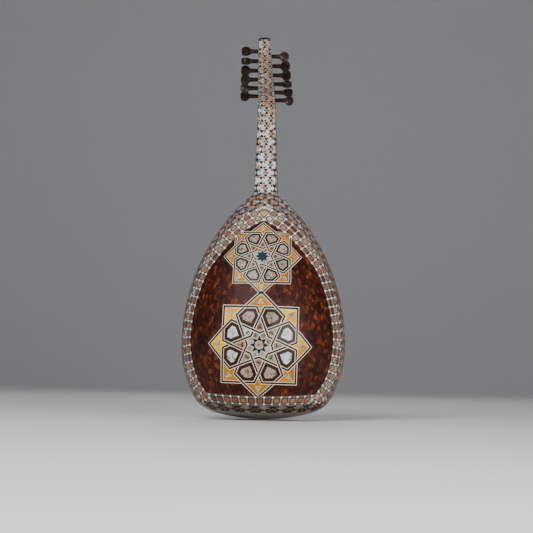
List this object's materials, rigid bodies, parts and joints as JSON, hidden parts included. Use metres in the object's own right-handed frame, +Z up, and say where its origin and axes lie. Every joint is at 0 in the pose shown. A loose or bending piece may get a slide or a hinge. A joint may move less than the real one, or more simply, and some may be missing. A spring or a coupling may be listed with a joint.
{
  "type": "oud",
  "caption": "Short-necked lute with a ribbed bowl back inlaid with star medallions and mosaic, fretwork rosettes, bent-back pegbox and friction tuning pegs.",
  "frame": {"origin": "tail end of the body on the centreline, in the joint plane of bowl and soundboard", "axes": "+Z up the neck, +Y out of the soundboard towards the strings, -Y out of the bowl's back, +X across"},
  "size_m": [0.357, 0.228, 0.7985],
  "materials": {
    "rib_wood": "satin walnut, covered by veneer",
    "spruce_block": "bare spruce",
    "star_inlay": "polished marquetry of lemonwood, bone, ebony and mother of pearl",
    "burl_veneer": "polished dark burl",
    "band_inlay": "polished marquetry of bone, ebony and orange wood",
    "khatam_mosaic": "polished micro-mosaic of bone, pearl, rosewood and blue points",
    "clasp_inlay": "polished marquetry with black flower motifs",
    "soundboard_spruce": "thin satin varnish",
    "ebony_trim": "polished",
    "rosette_wood": "satin fretwork",
    "pickguard_veneer": "satin dark veneer",
    "ebony": "polished ebony",
    "pegbox_wood": "polished dark rosewood",
    "bone": null,
    "bridge_wood": "satin walnut",
    "peg_wood": "polished dark rosewood",
    "string_wire": "metal-wound string",
    "string_nylon": "plain nylon string"
  },
  "bodies": {
    "oud_body": {"bowl_ribs": "rib_wood", "neck_block": "spruce_block", "tail_block": "spruce_block", "linings": "spruce_block", "star_medallion_lower": "star_inlay", "star_medallion_upper": "star_inlay", "back_field_veneer": "burl_veneer", "border_band": "band_inlay", "bowl_khatam_veneer": "khatam_mosaic", "tail_clasp": "clasp_inlay", "soundboard_left": "soundboard_spruce", "soundboard_right": "soundboard_spruce", "edge_binding": "ebony_trim", "soundboard_braces": "spruce_block", "main_rosette": "rosette_wood", "small_rosette_left": "rosette_wood", "small_rosette_right": "rosette_wood", "pickguard": "pickguard_veneer", "neck": "rib_wood", "neck_veneer": "khatam_mosaic", "fingerboard": "ebony", "pegbox_cheek_left": "pegbox_wood", "pegbox_cheek_right": "pegbox_wood", "pegbox_floor": "pegbox_wood", "pegbox_veneer": "khatam_mosaic", "pegbox_cap": "ebony", "nut": "bone", "bridge": "bridge_wood", "string_course_1": "string_wire", "string_course_2": "string_wire", "string_course_3": "string_wire", "string_course_4": "string_nylon", "string_course_5": "string_nylon", "string_course_6": "string_nylon"},
    "tuner_right_1": {"peg_right_1": "peg_wood", "winding_right_1": "string_wire"},
    "tuner_left_1": {"peg_left_1": "peg_wood", "winding_left_1": "string_wire"},
    "tuner_right_2": {"peg_right_2": "peg_wood", "winding_right_2": "string_wire"},
    "tuner_left_2": {"peg_left_2": "peg_wood", "winding_left_2": "string_wire"},
    "tuner_right_3": {"peg_right_3": "peg_wood", "winding_right_3": "string_wire"},
    "tuner_left_3": {"peg_left_3": "peg_wood", "winding_left_3": "string_wire"},
    "tuner_right_4": {"peg_right_4": "peg_wood", "winding_right_4": "string_nylon"},
    "tuner_left_4": {"peg_left_4": "peg_wood", "winding_left_4": "string_nylon"},
    "tuner_right_5": {"peg_right_5": "peg_wood", "winding_right_5": "string_nylon"},
    "tuner_left_5": {"peg_left_5": "peg_wood", "winding_left_5": "string_nylon"},
    "tuner_right_6": {"peg_right_6": "peg_wood", "winding_right_6": "string_nylon"},
    "tuner_left_6": {"peg_left_6": "peg_wood", "winding_left_6": "string_nylon"}
  },
  "joints": [
    {"name": "tuner_right_1_turn", "type": "hinge", "parent": "oud_body", "child": "tuner_right_1", "pos_m": [0, -0.02422, 0.69777], "axis": [1, 0, 0], "continuous": true},
    {"name": "tuner_left_1_turn", "type": "hinge", "parent": "oud_body", "child": "tuner_left_1", "pos_m": [0, -0.03858, 0.70368], "axis": [1, 0, 0], "continuous": true},
    {"name": "tuner_right_2_turn", "type": "hinge", "parent": "oud_body", "child": "tuner_right_2", "pos_m": [0, -0.05287, 0.70976], "axis": [1, 0, 0], "continuous": true},
    {"name": "tuner_left_2_turn", "type": "hinge", "parent": "oud_body", "child": "tuner_left_2", "pos_m": [0, -0.06707, 0.71603], "axis": [1, 0, 0], "continuous": true},
    {"name": "tuner_right_3_turn", "type": "hinge", "parent": "oud_body", "child": "tuner_right_3", "pos_m": [0, -0.0812, 0.72248], "axis": [1, 0, 0], "continuous": true},
    {"name": "tuner_left_3_turn", "type": "hinge", "parent": "oud_body", "child": "tuner_left_3", "pos_m": [0, -0.09524, 0.72911], "axis": [1, 0, 0], "continuous": true},
    {"name": "tuner_right_4_turn", "type": "hinge", "parent": "oud_body", "child": "tuner_right_4", "pos_m": [0, -0.1092, 0.73591], "axis": [1, 0, 0], "continuous": true},
    {"name": "tuner_left_4_turn", "type": "hinge", "parent": "oud_body", "child": "tuner_left_4", "pos_m": [0, -0.12306, 0.7429], "axis": [1, 0, 0], "continuous": true},
    {"name": "tuner_right_5_turn", "type": "hinge", "parent": "oud_body", "child": "tuner_right_5", "pos_m": [0, -0.13684, 0.75006], "axis": [1, 0, 0], "continuous": true},
    {"name": "tuner_left_5_turn", "type": "hinge", "parent": "oud_body", "child": "tuner_left_5", "pos_m": [0, -0.15052, 0.7574], "axis": [1, 0, 0], "continuous": true},
    {"name": "tuner_right_6_turn", "type": "hinge", "parent": "oud_body", "child": "tuner_right_6", "pos_m": [0, -0.16412, 0.76491], "axis": [1, 0, 0], "continuous": true},
    {"name": "tuner_left_6_turn", "type": "hinge", "parent": "oud_body", "child": "tuner_left_6", "pos_m": [0, -0.17761, 0.77259], "axis": [1, 0, 0], "continuous": true}
  ]
}
